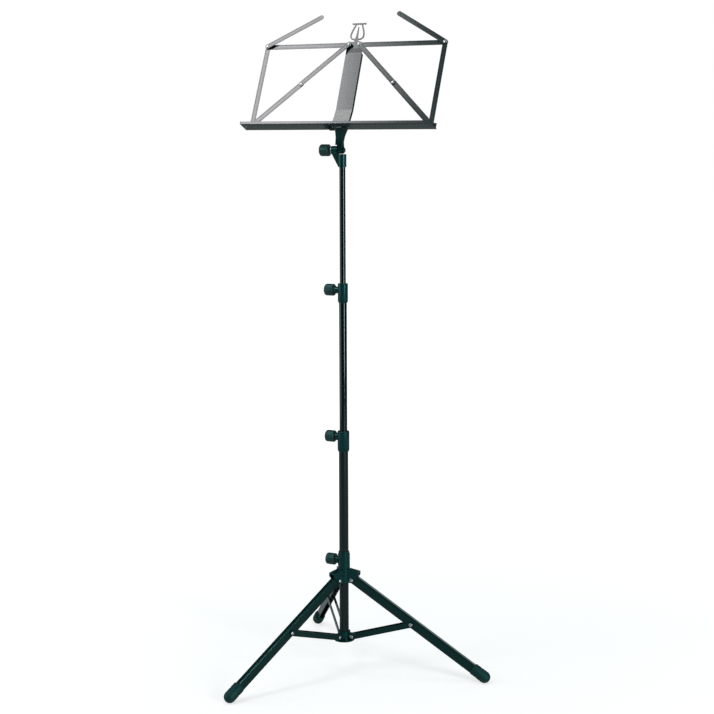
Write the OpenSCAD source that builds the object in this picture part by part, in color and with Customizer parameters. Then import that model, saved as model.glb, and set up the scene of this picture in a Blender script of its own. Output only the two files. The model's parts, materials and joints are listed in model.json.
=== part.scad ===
// Folding sheet-music stand.
// A tripod whose hub slides on the base tube, two telescopic tubes, and a tilting desk
// whose left and right wings fold up beside the back plate as jointed flat bars.
// All sizes are millimetres. The floor is z = 0, the musician stands on the -Y side.

/* [Tripod] */
// Distance from the pole's axis to where a foot touches the floor
foot_reach = 344.6; // [320:1:360]
// Height of the three upper leg pivots above the floor
upper_pivot_z = 219.9; // [212:0.5:228]
// Height of the three lower strut pivots above the floor
lower_pivot_z = 80.4; // [78:0.5:84]
// Distance from the pole's axis to the leg and strut pivots
pivot_r = 20.9; // [20.5:0.1:22]
// Distance along a leg from its upper pivot to its strut
strut_at = 175; // [160:1:190]
// Outer width of a leg channel
leg_w = 14; // [13:0.5:15]
// Depth of a leg channel
leg_depth = 21.5; // [20:0.5:23]
// Height of one flat strut bar
strut_h = 13; // [11:0.5:14]
// Direction of the first leg, turned from the musician's right
first_leg = 246.65; // [240:0.5:252]

/* [Pole] */
// Outer diameter of the base tube
base_od = 22; // [21.5:0.1:22.2]
// Outer diameter of the middle tube
mid_od = 18; // [17.6:0.1:18.2]
// Outer diameter of the top tube
top_od = 14; // [13.6:0.1:14.2]
// Wall thickness of all three tubes
tube_wall = 1; // [0.8:0.1:1.1]
// Top of the clamp collar on the base tube
mid_collar_top = 578.3; // [560:1:590]
// Top of the clamp collar on the middle tube
top_collar_top = 926.2; // [900:1:940]
// Height of the axis that the desk tilts about
tilt_z = 1232.2; // [1228:0.5:1240]
// Diameter of the clamp knobs
knob_d = 27.6; // [25:0.2:28]

/* [Desk] */
// Lean of the desk from upright, in degrees
desk_lean = 24.8; // [15:0.2:35]
// Half the width between the two corner rivets
desk_half_w = 225; // [215:1:235]
// Height of the desk frame between its rivets
desk_h = 204; // [200:1:208]
// Half the distance between the two centre rivets
centre_rivet = 12.8; // [12.6:0.1:13.4]
// Half the width of the back plate
plate_half_w = 20.4; // [19:0.1:20.6]
// Depth of the music ledge, from the frame to its front edge
ledge_depth = 34.5; // [30:0.5:40]
// Half the length of the whole music ledge
ledge_half_l = 237.5; // [234:0.5:240]
// Width of the frame bars
bar_w = 12; // [11:0.5:12]
// Width of the lower diagonal links
low_link_w = 13; // [12:0.5:13]
// Thickness of every flat bar
bar_t = 1.5; // [1.2:0.1:1.5]
// Length of a page arm
page_arm_l = 152; // [130:1:155]
// Width of a page arm
page_arm_w = 11.5; // [10:0.5:12]
// Largest turn of a wing as it folds up, in degrees
fold_max = 86; // [80:0.5:86]

/* [Hidden] */
$fn = 48;

BLACK = [0.05, 0.07, 0.07];
PLASTIC = [0.09, 0.10, 0.10];
RUBBER = [0.06, 0.06, 0.06];
STEEL = [0.75, 0.76, 0.77];

eps = 0.01;
run = 0.08;            // radial running clearance of a rivet in a bar that turns on it
side = 0.3;            // side clearance between flat pieces that pass each other

// Tripod geometry. A leg lies at leg_angle from the vertical, a strut at strut_angle.
leg_wall = 1.4;
leg_below = 6.8;                         // leg depth below its pivot line
leg_above = leg_depth - leg_below;       // leg depth above its pivot line
leg_mid = (leg_above - leg_below) / 2;   // centre of the channel above the pivot line
cap_r = 14;                              // radius of a rubber foot
foot_ball = cap_r - 0.35;                // height of the foot's centre, flattened at the floor
foot_dx = foot_reach - pivot_r;
foot_dz = upper_pivot_z - foot_ball;
leg_angle = atan2(foot_dx, foot_dz) - asin(leg_mid / norm([foot_dx, foot_dz]));
foot_at = (foot_dz + leg_mid * sin(leg_angle)) / cos(leg_angle);
strut_dx = strut_at * sin(leg_angle);
strut_dz = upper_pivot_z - strut_at * cos(leg_angle) - lower_pivot_z;
strut_l = norm([strut_dx, strut_dz]);
strut_angle = atan2(strut_dx, strut_dz);
strut_in = leg_w / 2 + 0.2;              // inner face of a strut bar, from the leg's middle
strut_t = 2;
rivet_r = 2.5;
head_r = 4.4;
head_t = 1.3;
ear_in = leg_w / 2 + side;
ear_t = 3;

// Pole heights
lower_hub_z = 69.8;
lower_hub_h = 22.2;
flange_r = 25;
flange_t = 3.4;
tube_foot_z = lower_hub_z + 2.2;
hub_low_z = upper_pivot_z - 6.8;
hub_shoulder_z = 245.6;
hub_collar_z = 282.1;
hub_top_z = 287.7;
hub_knob_z = 265.7;
hub_r = 14.25;
skirt_r = 14.6;
mid_collar_h = 49.2;
mid_collar_r = 14;
mid_knob_z = mid_collar_top - 14.3;
base_top_z = mid_collar_top - 4.3;
top_collar_h = 45.5;
top_collar_r = 11.75;
top_knob_z = top_collar_top - 15.8;
mid_top_z = top_collar_top - 6.2;
mid_low_z = mid_collar_top - mid_collar_h - 69;
top_low_z = top_collar_top - top_collar_h - 60;
head_top_z = tilt_z - 8.7;
head_low_z = head_top_z - 29.5;
top_top_z = head_top_z - 5.5;
slip = 0.1;            // radial clearance of a tube or a bush that slides
screw_r = 3;
boss_end = 17;         // outer end of each clamp boss, from the pole's axis

// Desk frame: u to the right, v up the leaning plane, n towards the musician.
desk_y = -14.6;
desk_z = 1287;
layer = bar_t + side;                     // pitch of the stacked flat bars
function layer_n(i) = side + (i - 1) * layer;
desk_rivet_r = 2;
desk_head_r = 4;
desk_head_t = 1.35;
gap_n = 0.15;
ledge_low = -9.4;
ledge_t = 1.2;
wall_top = 5;
lip_h = 5;
wing_l = desk_half_w - centre_rivet;      // ledge pivot to ledge-end pivot
diagonal = norm([wing_l, desk_h]);
diagonal_angle = atan2(desk_h, wing_l);
fold_du = wing_l * cos(fold_max);         // folded ledge end, from the centre rivet
fold_dv = wing_l * sin(fold_max) - desk_h;
fold_base = norm([fold_du, fold_dv]);
link_diff = fold_dv + 0.45;               // longer lower link: the folded elbow clears the ledge
upper_link_l = (diagonal - link_diff) / 2;
lower_link_l = (diagonal + link_diff) / 2;
arm_rise_right = 31;                      // page arm above its top bar, in degrees
arm_rise_left = 29.2;

// The frame's origin is on the floor, at the middle of the stand's outline.
leg_dirs = [first_leg, first_leg + 120, first_leg + 240];
cap_x = max([for (a = leg_dirs) foot_reach * cos(a)]) + cap_r;
cap_y_high = max([for (a = leg_dirs) foot_reach * sin(a)]) + cap_r;
cap_y_low = min([for (a = leg_dirs) foot_reach * sin(a)]) - cap_r;
pole_x = -(cap_x - ledge_half_l - 1.5) / 2;
pole_y = -(cap_y_high + cap_y_low) / 2;

module at_pole() { translate([pole_x, pole_y, 0]) children(); }

// Places a flat drawing in the desk frame, from n to n + t.
module on_desk(n, t) {
    at_pole() translate([0, desk_y, desk_z]) rotate([90 - desk_lean, 0, 0])
        translate([0, 0, n]) linear_extrude(t) children();
}

module desk_frame() {
    at_pole() translate([0, desk_y, desk_z]) rotate([90 - desk_lean, 0, 0]) children();
}

module tube(od, z_low, z_high) {
    translate([0, 0, z_low]) difference() {
        cylinder(r = od / 2, h = z_high - z_low);
        translate([0, 0, -1]) cylinder(r = od / 2 - tube_wall, h = z_high - z_low + 2);
    }
}

// A hole or shank that runs along -X at height z, between two distances from the pole's axis.
module spoke(r, near, far, z) {
    translate([-near, 0, z]) rotate([0, -90, 0]) cylinder(r = r, h = far - near);
}

// ---- pole ----

module base_tube() {
    color(BLACK) at_pole() difference() {
        tube(base_od, tube_foot_z, base_top_z);
        spoke(screw_r + slip, 0, base_od, mid_knob_z);
    }
}

module mid_tube() {
    color(BLACK) at_pole() difference() {
        tube(mid_od, mid_low_z, mid_top_z);
        spoke(screw_r + slip, 0, mid_od, top_knob_z);
    }
}

module top_tube() { color(BLACK) at_pole() tube(top_od, top_low_z, top_top_z); }

// A split plastic ring on the foot of an inner tube, which guides it in the outer one.
module guide_bush(inner_od, outer_od, z) {
    translate([0, 0, z + 2]) difference() {
        cylinder(r = outer_od / 2 - tube_wall - slip, h = 18);
        translate([0, 0, -1]) cylinder(r = inner_od / 2 + 0.03, h = 20);
    }
}

module mid_bush() { color(PLASTIC) at_pole() guide_bush(mid_od, base_od, mid_low_z); }
module top_bush() { color(PLASTIC) at_pole() guide_bush(top_od, mid_od, top_low_z); }

// A clamp collar closes the top of one tube round the next thinner one.
module clamp_collar(r, top, h, outer_od, inner_od, step_z, knob_z, boss_r) {
    chamfer = 4;
    difference() {
        union() {
            translate([0, 0, top - h + chamfer]) cylinder(r = r, h = h - chamfer - 1);
            translate([0, 0, top - h]) cylinder(r1 = r - 2, r2 = r, h = chamfer);
            translate([0, 0, top - 1]) cylinder(r1 = r, r2 = r - 1, h = 1);
            spoke(boss_r, 0, boss_end, knob_z);
        }
        translate([0, 0, top - h - 1]) cylinder(r = outer_od / 2 + 0.03, h = step_z - top + h + 1);
        translate([0, 0, step_z - 1]) cylinder(r = inner_od / 2 + slip, h = top - step_z + 2);
        spoke(screw_r + slip, 0, boss_end + 1, knob_z);
    }
}

module mid_collar() {
    color(PLASTIC) at_pole() clamp_collar(mid_collar_r, mid_collar_top, mid_collar_h,
        base_od, mid_od, base_top_z, mid_knob_z, 9);
}

module top_collar() {
    color(PLASTIC) at_pole() clamp_collar(top_collar_r, top_collar_top, top_collar_h,
        mid_od, top_od, mid_top_z, top_knob_z, 8);
}

// A moulded knob on a neck, with its axis along -X and its neck's end at near.
module knob(near, z) {
    neck_l = 4;
    body_l = 23;
    r = knob_d / 2;
    difference() {
        union() {
            spoke(8, near, near + neck_l, z);
            translate([-near - neck_l, 0, z]) rotate([0, -90, 0]) {
                cylinder(r1 = r - 2, r2 = r, h = 2);
                translate([0, 0, 2]) cylinder(r = r, h = body_l - 6);
                translate([0, 0, body_l - 4]) cylinder(r1 = r, r2 = r - 1.2, h = 2);
                translate([0, 0, body_l - 2]) cylinder(r1 = r - 1.2, r2 = r - 4, h = 2);
            }
        }
        spoke(screw_r + 0.02, near - 1, near + neck_l + 14, z);
    }
}

module hub_knob() { color(PLASTIC) at_pole() knob(boss_end + 0.4, hub_knob_z); }
module mid_knob() { color(PLASTIC) at_pole() knob(boss_end + 0.4, mid_knob_z); }
module top_knob() { color(PLASTIC) at_pole() knob(boss_end + 0.4, top_knob_z); }

// The knob's steel screw, which ends just short of the tube that it clamps.
module clamp_screw(tube_r, z) { spoke(screw_r, tube_r + 0.1, boss_end + 18, z); }

module hub_screw() { color(STEEL) at_pole() clamp_screw(base_od / 2, hub_knob_z); }
module mid_screw() { color(STEEL) at_pole() clamp_screw(mid_od / 2, mid_knob_z); }
module top_screw() { color(STEEL) at_pole() clamp_screw(top_od / 2, top_knob_z); }

// ---- tripod ----

// Children are drawn with X outwards along the leg's direction.
module toward_leg(i) { at_pole() rotate([0, 0, leg_dirs[i]]) children(); }

module each_leg() { for (i = [0:2]) toward_leg(i) children(); }

// A rivet across a leg's plane, with its heads outside half_grip.
module cross_rivet(x, z, half_grip) {
    translate([x, 0, z]) rotate([90, 0, 0]) {
        cylinder(r = rivet_r, h = 2 * half_grip, center = true);
        for (s = [-1, 1]) translate([0, 0, s * (half_grip + head_t / 2 - eps)])
            cylinder(r = head_r, h = head_t, center = true);
    }
}

module lower_hub() {
    lug_half = leg_w / 2 - 0.1;
    lug_r = strut_h / 2;
    color(PLASTIC) difference() {
        union() {
            at_pole() translate([0, 0, lower_hub_z]) {
                cylinder(r = skirt_r, h = lower_hub_h);
                cylinder(r1 = flange_r - 1, r2 = flange_r, h = 1);
                translate([0, 0, 1 - eps]) cylinder(r = flange_r, h = flange_t - 1);
            }
            each_leg() {
                translate([pivot_r, 0, lower_pivot_z]) rotate([90, 0, 0])
                    cylinder(r = lug_r, h = 2 * lug_half, center = true);
                translate([0, -lug_half, lower_pivot_z - lug_r])
                    cube([pivot_r, 2 * lug_half, 2 * lug_r]);
            }
        }
        at_pole() translate([0, 0, tube_foot_z]) cylinder(r = base_od / 2 + 0.03, h = 60);
        each_leg() translate([pivot_r, 0, lower_pivot_z]) rotate([90, 0, 0])
            cylinder(r = rivet_r + 0.02, h = leg_w, center = true);
    }
}

module lower_rivets() {
    color(STEEL) each_leg()
        cross_rivet(pivot_r, lower_pivot_z, strut_in + strut_t + gap_n);
}

// A hub fork, drawn in the leg's plane: X outwards, Y up.
module fork_side() {
    polygon([[9.5, hub_low_z + 0.5], [pivot_r, hub_low_z + 0.5], [pivot_r + 6.8, upper_pivot_z],
        [38, 231], [38, 240], [13, hub_shoulder_z - 0.6], [9.5, hub_shoulder_z - 0.6]]);
}

// The room for the leg inside a fork, below its roof.
module fork_slot() {
    polygon([[0, hub_low_z - 5], [50, hub_low_z - 5], [50, 234.2], [13.6, hub_shoulder_z - 3],
        [0, hub_shoulder_z - 3]]);
}

module tripod_hub() {
    ear_out = ear_in + ear_t;
    color(PLASTIC) difference() {
        union() {
            at_pole() {
                translate([0, 0, hub_low_z])
                    cylinder(r = skirt_r, h = hub_shoulder_z - hub_low_z);
                translate([0, 0, hub_shoulder_z])
                    cylinder(r = hub_r, h = hub_collar_z - hub_shoulder_z);
                translate([0, 0, hub_collar_z])
                    cylinder(r = hub_r - 1.4, h = hub_top_z - hub_collar_z);
                spoke(9, 0, boss_end, hub_knob_z);
            }
            each_leg() rotate([90, 0, 0]) difference() {
                linear_extrude(2 * ear_out, center = true) fork_side();
                linear_extrude(2 * ear_in, center = true) fork_slot();
            }
        }
        at_pole() translate([0, 0, hub_low_z - 1])
            cylinder(r = base_od / 2 + slip, h = hub_top_z - hub_low_z + 2);
        at_pole() spoke(screw_r + slip, 0, boss_end + 1, hub_knob_z);
        each_leg() translate([pivot_r, 0, upper_pivot_z]) rotate([90, 0, 0])
            cylinder(r = rivet_r + 0.02, h = 3 * leg_w, center = true);
    }
}

module hub_rivets() {
    color(STEEL) each_leg()
        cross_rivet(pivot_r, upper_pivot_z, ear_in + ear_t + gap_n);
}

// Children are drawn with Z down along the leg, and -X on the leg's upper side.
module along_leg(i) {
    toward_leg(i) translate([pivot_r, 0, upper_pivot_z])
        rotate([0, 180 - leg_angle, 0]) children();
}

// Channel outline with a rounded web, grown by g on every outer side.
module channel_outline(g, corner) {
    half = leg_w / 2 + g;
    top = leg_above + g;
    translate([corner - top, -half]) square([top - corner + leg_below + g, 2 * half]);
    translate([-top, corner - half]) square([corner + eps, 2 * (half - corner)]);
    for (s = [-1, 1]) translate([corner - top, s * (half - corner)]) circle(r = corner);
}

module leg(i) {
    over = 6;                                // the channel's length above its pivot
    color(BLACK) along_leg(i) difference() {
        translate([0, 0, -over]) linear_extrude(over + foot_at - 3) difference() {
            channel_outline(0, 3);
            intersection() {
                channel_outline(-leg_wall, 3 - leg_wall);
                translate([-2 * leg_depth, -leg_w]) square([2 * leg_depth, 2 * leg_w]);
            }
            translate([-1, leg_wall - leg_w / 2]) square([leg_depth, leg_w - 2 * leg_wall]);
        }
        // The lower corner at the pivot is cut away so that it passes the hub
        translate([leg_below, 0, 0]) rotate([0, atan2(leg_below, over), 0])
            translate([0, -leg_w, -2 * leg_w]) cube([leg_w, 2 * leg_w, 2 * leg_w]);
        for (z = [0, strut_at]) translate([0, 0, z]) rotate([90, 0, 0])
            cylinder(r = rivet_r + run, h = 2 * leg_w, center = true);
    }
}

module foot_cap(i) {
    skirt = 30;
    color(RUBBER) difference() {
        along_leg(i) translate([-leg_mid, 0, 0]) {
            translate([0, 0, foot_at]) sphere(r = cap_r);
            translate([0, 0, foot_at - skirt]) cylinder(r = cap_r, h = skirt);
            translate([0, 0, foot_at - skirt - 3])
                cylinder(r1 = cap_r - 1.5, r2 = cap_r, h = 3 + eps);
        }
        along_leg(i) linear_extrude(foot_at - 2.9) channel_outline(0.03, 3);
        at_pole() translate([0, 0, -50]) cube([3 * foot_reach, 3 * foot_reach, 100], center = true);
    }
}

// Children are drawn with Z along the strut, from its lower pivot.
module along_strut(i) {
    toward_leg(i) translate([pivot_r, 0, lower_pivot_z])
        rotate([0, strut_angle, 0]) children();
}

module strut(i) {
    color(BLACK) along_strut(i) for (y = [strut_in + strut_t, -strut_in])
        translate([0, y, 0]) rotate([90, 0, 0]) linear_extrude(strut_t) difference() {
            union() {
                for (z = [0, strut_l]) translate([0, z]) circle(r = strut_h / 2);
                translate([-strut_h / 2, 0]) square([strut_h, strut_l]);
            }
            circle(r = rivet_r + run);
            translate([0, strut_l]) circle(r = rivet_r + 0.02);
        }
}

// Short rivets in the outer ends of the two strut bars.
module strut_rivets(i) {
    color(STEEL) along_strut(i) translate([0, 0, strut_l]) rotate([90, 0, 0])
        for (s = [0, 180]) rotate([s, 0, 0]) {
            translate([0, 0, strut_in + 0.05]) cylinder(r = rivet_r, h = strut_t + 0.2);
            translate([0, 0, strut_in + strut_t + gap_n]) cylinder(r = head_r, h = head_t);
        }
}

// ---- tilting head ----

module tilt_head() {
    color(PLASTIC) at_pole() difference() {
        union() {
            translate([0, 0, head_low_z]) cylinder(r = 9.4, h = head_top_z - head_low_z);
            spoke(10, 10.2, 25, tilt_z);
            translate([0, 4, 0]) rotate([90, 0, 0]) linear_extrude(8)
                polygon([[-25, tilt_z], [-25, head_top_z], [-9, head_low_z + 1],
                    [-7, head_low_z + 1], [-7, head_top_z - 1], [-10.2, head_top_z - 1],
                    [-10.2, tilt_z]]);
        }
        translate([0, 0, head_low_z - 1])
            cylinder(r = top_od / 2 + 0.03, h = top_top_z - head_low_z + 1);
        spoke(screw_r + 0.02, 5, 30, tilt_z);
    }
}

// The bolt stays in the head; the neck turns on it and the knob draws the two together.
module tilt_bolt() {
    color(STEEL) at_pole() {
        spoke(screw_r, -3, 45.8, tilt_z);
        spoke(5.5, -6, -2.2, tilt_z);
    }
}

module tilt_washer() {
    color(STEEL) at_pole() difference() {
        spoke(9, 25.3, 27.3, tilt_z);
        spoke(screw_r + 0.02, 25, 28, tilt_z);
    }
}

module tilt_knob() { color(PLASTIC) at_pole() knob(28.2, tilt_z); }

// The neck, seen from the side (Y to the right, Z up).
module neck_side() {
    translate([0, tilt_z]) circle(r = 8);
    polygon([[-8, tilt_z], [8, tilt_z], [7, tilt_z + 7], [1, tilt_z + 20], [-5, tilt_z + 38],
        [-7.2, tilt_z + 56], [-9.9, tilt_z + 62.2], [-17.6, tilt_z + 44], [-12, tilt_z + 28],
        [-9, tilt_z + 14]]);
}

// The neck, seen from the front (X to the right, Z up).
module neck_front() {
    polygon([[-9.8, tilt_z - 10], [2, tilt_z - 10], [2, tilt_z + 8], [3.5, tilt_z + 18],
        [8, tilt_z + 30], [16, tilt_z + 44], [18, tilt_z + 52], [18, tilt_z + 70],
        [-8, tilt_z + 70], [-11, tilt_z + 30], [-14, tilt_z + 12], [-9.8, tilt_z + 12]]);
}

module neck_bracket() {
    color(BLACK) difference() {
        at_pole() intersection() {
            translate([-30, 0, 0]) rotate([90, 0, 90]) linear_extrude(60) neck_side();
            translate([0, 30, 0]) rotate([90, 0, 0]) linear_extrude(60) neck_front();
        }
        at_pole() spoke(screw_r + run, -10, 20, tilt_z);
        // Everything in front of the back plate's rear face is cut away
        desk_frame() translate([-40, -60, plate_n(0) - bar_t - 0.02]) cube([80, 100, 40]);
        // Room for the tails of the ledge pivots
        for (s = [-1, 1]) on_desk(-bar_t - 3, 4) translate([s * centre_rivet, 0])
            circle(r = desk_head_r + 0.5);
    }
}

// ---- desk ----

// Front face of the back plate, as n against v: recessed behind the bars between its ends.
plate_low = -10.6;
plate_top = 213;
plate_path = [[plate_low, 0], [8, 0], [44, -6.5], [186, -1.5], [196, 0], [plate_top, 0]];
function plate_n(v) = lookup(v, plate_path);

// Points along the plate's face from v_low to v_high, d behind its front.
function plate_line(d, v_low, v_high) = [for (v = concat([v_low],
    [for (p = plate_path) if (p[0] > v_low && p[0] < v_high) p[0]], [v_high]))
    [v, plate_n(v) - d]];

// Side view (v to the right, n up) of the plate with its flanges, and of the room behind it.
module plate_side() {
    polygon(concat(plate_line(0, plate_low, plate_top),
        [[plate_top, -16], [plate_low, -16]]));
}

module behind_plate(d, v_low, v_high) {
    polygon(concat(plate_line(d, v_low, v_high), [[v_high, -40], [v_low, -40]]));
}

// Extrudes a side view (v, n) along u, centred.
module across_desk(w) {
    desk_frame() rotate([90, 0, 90]) linear_extrude(w, center = true) children();
}

module plate_front() {
    w = plate_half_w;
    polygon([[-w, -12], [w, -12], [w, 192], [w - 1.5, 200], [w - 1, desk_h + 5],
        [13, 213], [5.5, 213], [-5.5, 213], [-13, 213], [1 - w, desk_h + 5], [1.5 - w, 200],
        [-w, 192]]);
}

module back_plate() {
    flange_d = 8;
    flange_low = 12;
    flange_top = 184;
    shelf_n = 14;
    color(BLACK) difference() {
        union() {
            intersection() {
                across_desk(3 * plate_half_w) plate_side();
                on_desk(-20, 40) plate_front();
            }
            // The shelf that both halves of the ledge rest on
            across_desk(2 * plate_half_w + 4)
                polygon([[-11.1, -1], [ledge_low - 0.2, -1], [ledge_low - 0.2, shelf_n],
                    [-11.1, shelf_n]]);
        }
        across_desk(2 * (plate_half_w - bar_t)) behind_plate(bar_t, -20, plate_top + 1);
        across_desk(4 * plate_half_w) behind_plate(flange_d, -20, plate_top + 1);
        across_desk(4 * plate_half_w) behind_plate(bar_t, -20, flange_low);
        across_desk(4 * plate_half_w) behind_plate(bar_t, flange_top, plate_top + 1);
        for (s = [-1, 1], v = [0, desk_h]) on_desk(-10, 20)
            translate([s * centre_rivet, v]) circle(r = desk_rivet_r + 0.02);
    }
}

// Points of a cubic curve through four control points.
function curve(p, n = 14) = [for (i = [0:n]) let (t = i / n, s = 1 - t)
    s * s * s * p[0] + 3 * s * s * t * p[1] + 3 * s * t * t * p[2] + t * t * t * p[3]];

// A ribbon of the given width along a list of points.
module ribbon(pts, w) {
    n = len(pts) - 1;
    dirs = [for (i = [0:n]) let (d = pts[min(i + 1, n)] - pts[max(i - 1, 0)]) d / norm(d)];
    polygon(concat([for (i = [0:n]) pts[i] + w / 2 * [-dirs[i][1], dirs[i][0]]],
        [for (i = [n:-1:0]) pts[i] - w / 2 * [-dirs[i][1], dirs[i][0]]]));
}

lyre_top = desk_h + 56;
lyre_foot = desk_h + 17;
lyre_t = 2.2;

// The lyre's foot with its two rivet holes, and the spike that rises from it.
module lyre_foot_shape() {
    difference() {
        polygon([[-18, 198], [18, 198], [18, 208], [12, 210.5], [5, 213], [4.5, lyre_foot],
            [2.6, lyre_foot + 5], [0.7, lyre_top - 8], [-0.7, lyre_top - 8],
            [-2.6, lyre_foot + 5], [-4.5, lyre_foot], [-5, 213], [-12, 210.5], [-18, 208]]);
        for (s = [-1, 1]) translate([s * centre_rivet, desk_h])
            circle(r = desk_rivet_r + 0.02);
    }
}

// An arm that swells outwards, draws in, and meets the crossbar.
module lyre_arm(s) {
    ribbon(curve([[s * 1.5, lyre_foot - 1], [s * 27, lyre_foot - 2.5],
        [s * 13, lyre_foot + 23], [s * 7, lyre_top]]), 3.4);
}

module lyre() {
    low = -bar_t - 0.02 - lyre_t;
    color(BLACK) union() {
        on_desk(low, lyre_t) lyre_foot_shape();
        for (s = [-1, 1]) on_desk(low + 0.15, lyre_t - 0.3) lyre_arm(s);
        on_desk(low + 0.05, lyre_t - 0.1) {
            translate([-15.5, lyre_top - 1.3]) square([31, 2.6]);
            for (x = [-15.5:6.2:15.5]) translate([x, lyre_top]) circle(r = 2.1);
        }
    }
}

// A desk rivet at p: a shank with heads, and a spacer between two layers if wanted.
module desk_rivet(p, back, front, spacer_low = 0, spacer_high = 0) {
    translate([p[0], p[1], 0]) {
        translate([0, 0, back - desk_head_t]) cylinder(r = desk_head_r, h = desk_head_t);
        translate([0, 0, back - eps]) cylinder(r = desk_rivet_r, h = front - back + 2 * eps);
        translate([0, 0, front]) cylinder(r = desk_head_r, h = desk_head_t);
        if (spacer_high > spacer_low) translate([0, 0, spacer_low])
            cylinder(r = desk_head_r, h = spacer_high - spacer_low);
    }
}

function layer_top(i) = layer_n(i) + bar_t + gap_n;
function layer_back(i) = layer_n(i) - gap_n;

module centre_rivets() {
    color(STEEL) desk_frame() for (s = [-1, 1])
        desk_rivet([s * centre_rivet, desk_h], -bar_t - lyre_t - gap_n, layer_top(4),
            layer_top(1), layer_back(4));
}

module tray_pivots() {
    color(STEEL) desk_frame() for (s = [-1, 1])
        desk_rivet([s * centre_rivet, 0], -bar_t - gap_n, layer_top(1));
}

// A flat bar with round ends, from a to b, with a rivet hole of the given radius at each end.
module bar(a, b, w, hole_a, hole_b) {
    l = norm(b - a);
    translate(a) rotate(atan2(b[1] - a[1], b[0] - a[0])) difference() {
        union() {
            for (x = [0, l]) translate([x, 0]) circle(r = w / 2);
            translate([0, -w / 2]) square([l, w]);
        }
        circle(r = hole_a);
        translate([l, 0]) circle(r = hole_b);
    }
}

turns = desk_rivet_r + run;
fixed = desk_rivet_r + 0.02;
centre_top = [centre_rivet, desk_h];
corner = [desk_half_w, desk_h];
ledge_end = [desk_half_w, 0];
elbow = centre_top + upper_link_l * [cos(diagonal_angle), -sin(diagonal_angle)];

// Draws the right-hand piece, or its mirror image on the left.
module on_side(s) { mirror([s < 0 ? 1 : 0, 0, 0]) children(); }

// One half of the music ledge: back wall, ledge with a pressed bead, and front lip.
module tray(s) {
    inner = 0.5;
    shelf = 15.2;
    wall_n = layer_n(1);
    end = ledge_half_l;
    color(BLACK) desk_frame() on_side(s) difference() {
        union() {
            // Back wall
            translate([0, 0, wall_n]) linear_extrude(bar_t) {
                translate([centre_rivet, ledge_low])
                    square([end - centre_rivet, wall_top - ledge_low]);
                translate([centre_rivet, 0]) circle(r = wall_top);
            }
            // Ledge, cut back at the centre where the plate's shelf carries it
            translate([centre_rivet + 0.4, ledge_low, wall_n])
                cube([end - centre_rivet - 0.4, ledge_t, ledge_depth - wall_n]);
            translate([inner, ledge_low, shelf])
                cube([end - inner, ledge_t, ledge_depth - shelf]);
            // Bead pressed along the ledge
            translate([inner, ledge_low + 0.6, 28]) rotate([0, 90, 0])
                cylinder(r = 1.2, h = end - inner);
            // Front lip, with a rolled edge
            translate([inner, ledge_low, ledge_depth - ledge_t])
                cube([end - inner, lip_h, ledge_t]);
            translate([inner, ledge_low + lip_h, ledge_depth - 1.1]) rotate([0, 90, 0])
                cylinder(r = 1.1, h = end - inner);
        }
        for (u = [centre_rivet, desk_half_w]) translate([u, 0, -5])
            cylinder(r = u == centre_rivet ? turns : fixed, h = 20);
        translate([end - 6.5, ledge_low - 2, 17]) rotate([-90, 0, 0])
            cylinder(r = 2, h = 5);
    }
}

// Plastic trim on the outer end of the ledge, low enough for the side bar to pass over it.
module tray_cap(s) {
    t = 1.5;
    g = 0.4;
    color(PLASTIC) desk_frame() on_side(s) translate([ledge_half_l + 0.02, 0, 0]) {
        translate([0, ledge_low - g, 0]) cube([t, ledge_t + 2 * g, ledge_depth + g]);
        translate([0, ledge_low - g, ledge_depth - 2.2 - g])
            cube([t, lip_h + 1.1 + 2 * g, 2.2 + 2 * g]);
    }
}

module tray_rivet(s) {
    color(STEEL) on_desk_side(s) desk_rivet(ledge_end, layer_back(1), layer_top(3));
}

module on_desk_side(s) { desk_frame() on_side(s) children(); }

// A flat bar in one of the desk's layers, on one side.
module layer_bar(s, i) {
    color(BLACK) on_desk_side(s) translate([0, 0, layer_n(i)]) linear_extrude(bar_t) children();
}

module side_bar(s) { layer_bar(s, 2) bar(ledge_end, corner, bar_w, turns, turns); }
module top_bar(s) { layer_bar(s, 1) bar(centre_top, corner, bar_w, turns, fixed); }
module upper_link(s) { layer_bar(s, 4) bar(centre_top, elbow, bar_w, turns, fixed); }
module lower_link(s) { layer_bar(s, 3) bar(ledge_end, elbow, low_link_w, turns, fixed); }

// The page arms pass each other when both wings are folded, so the left one is a layer higher.
function arm_layer(s) = s > 0 ? 3 : 4;
function arm_rise(s) = s > 0 ? arm_rise_right : arm_rise_left;

module page_arm(s) {
    rise = arm_rise(s);
    tip = corner + (page_arm_l - page_arm_w / 2) * [-cos(rise), sin(rise)];
    layer_bar(s, arm_layer(s)) bar(corner, tip, page_arm_w, turns, 1.5);
}

module corner_rivet(s) {
    i = arm_layer(s);
    color(STEEL) on_desk_side(s) desk_rivet(corner, layer_back(1), layer_top(i),
        layer_top(2), i == 4 ? layer_back(4) : 0);
}

// The elbow's rivet is two halves, a head in front of the upper link and a tail behind the lower.
module elbow_rivet(s) {
    color(STEEL) on_desk_side(s) translate([elbow[0], elbow[1], 0]) {
        translate([0, 0, layer_n(4) + 0.02]) cylinder(r = desk_rivet_r, h = bar_t + 0.2);
        translate([0, 0, layer_top(4)]) cylinder(r = desk_head_r, h = desk_head_t);
    }
}

module elbow_tail(s) {
    color(STEEL) on_desk_side(s) translate([elbow[0], elbow[1], 0]) {
        translate([0, 0, layer_n(3) - 0.2]) cylinder(r = desk_rivet_r, h = bar_t + 0.18);
        translate([0, 0, layer_back(3) - 1.2]) cylinder(r = desk_head_r, h = 1.2);
    }
}

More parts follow.
